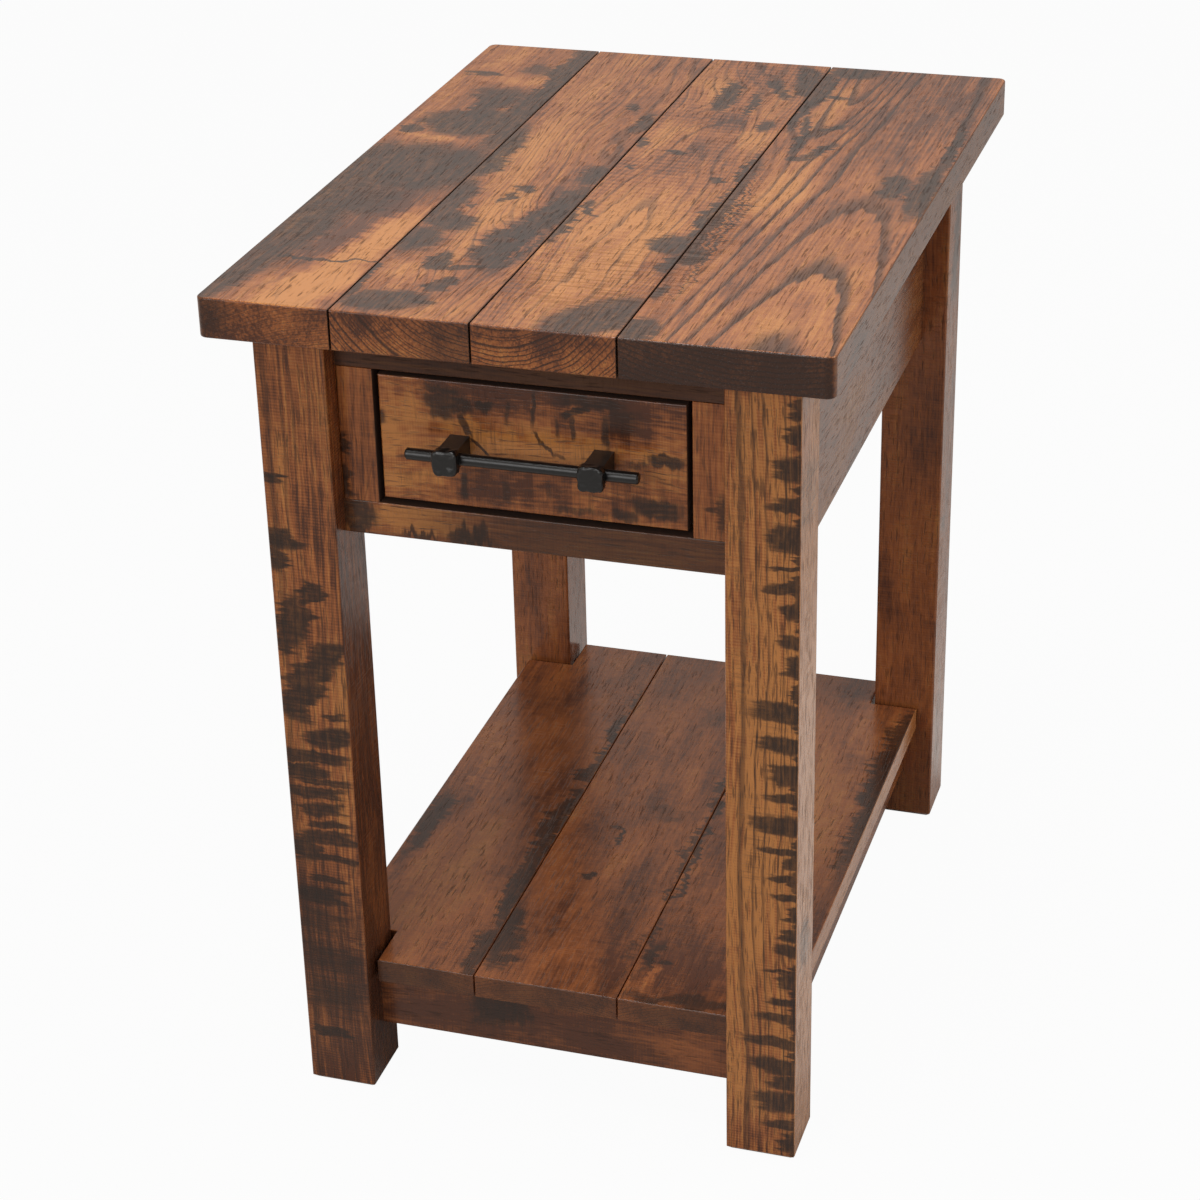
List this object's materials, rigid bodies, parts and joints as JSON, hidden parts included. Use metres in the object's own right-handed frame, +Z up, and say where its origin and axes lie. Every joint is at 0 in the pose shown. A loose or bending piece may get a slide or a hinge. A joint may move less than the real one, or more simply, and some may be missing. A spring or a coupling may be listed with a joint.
{
  "type": "end table",
  "caption": "Rustic hickory end table on square legs, with a planked top, an inset drawer on slides and a planked lower shelf notched round the legs.",
  "frame": {"origin": "on the floor, under the middle of the top", "axes": "+Z up, +X to the right seen from the drawer side, the drawer opens towards -Y"},
  "size_m": [0.409, 0.565, 0.6096],
  "materials": {
    "hickory_top": "satin lacquer over brown stain",
    "hickory_legs": "satin lacquer over brown stain",
    "hickory_frame": "satin lacquer over brown stain",
    "hickory_shelf": "satin lacquer over brown stain",
    "hickory_drawer_front": "satin lacquer over brown stain",
    "poplar_runner": "planed, unfinished",
    "maple_box": "clear satin lacquer",
    "birch_plywood": "clear satin lacquer",
    "zinc_steel": "zinc plated",
    "screw_steel": "zinc plated",
    "black_iron": "matte black powder coat"
  },
  "bodies": {
    "root": {"top_board_1": "hickory_top", "top_board_2": "hickory_top", "top_board_3": "hickory_top", "top_board_4": "hickory_top", "leg_front_left": "hickory_legs", "leg_front_right": "hickory_legs", "leg_back_left": "hickory_legs", "leg_back_right": "hickory_legs", "apron_left": "hickory_frame", "apron_right": "hickory_frame", "apron_back": "hickory_frame", "front_top_rail": "hickory_frame", "front_bottom_rail": "hickory_frame", "front_stile_left": "hickory_frame", "front_stile_right": "hickory_frame", "top_fasteners": "zinc_steel", "top_fastener_screws": "screw_steel", "slide_rail_left": "poplar_runner", "slide_rail_right": "poplar_runner", "slide_rail_screws": "screw_steel", "slide_outer_left": "zinc_steel", "slide_outer_right": "zinc_steel", "slide_case_screws": "screw_steel", "shelf_board_1": "hickory_shelf", "shelf_board_2": "hickory_shelf", "shelf_board_3": "hickory_shelf", "shelf_rail_left": "hickory_frame", "shelf_rail_right": "hickory_frame", "shelf_rail_front": "hickory_frame", "shelf_rail_back": "hickory_frame", "shelf_screws": "screw_steel"},
    "drawer": {"slide_inner_left": "zinc_steel", "slide_inner_right": "zinc_steel", "slide_drawer_screws": "screw_steel", "drawer_front": "hickory_drawer_front", "drawer_box_front": "maple_box", "drawer_box_back": "maple_box", "drawer_side_left": "maple_box", "drawer_side_right": "maple_box", "drawer_bottom": "birch_plywood", "drawer_front_screws": "screw_steel", "pull_bar": "black_iron", "pull_post_left": "black_iron", "pull_post_right": "black_iron", "pull_screws": "screw_steel"},
    "slide_middles": {"slide_middle_left": "zinc_steel", "slide_middle_right": "zinc_steel"}
  },
  "joints": [
    {"name": "drawer_travel", "type": "slide", "parent": "root", "child": "drawer", "axis": [0, -1, 0], "range_m": [0, 0.4]},
    {"name": "slide_middle_travel", "type": "slide", "parent": "root", "child": "slide_middles", "axis": [0, -1, 0], "range_m": [0, 0.2]}
  ],
  "couplings": [
    {"joint": "slide_middle_travel", "follows": "drawer_travel", "ratio": 0.5}
  ]
}
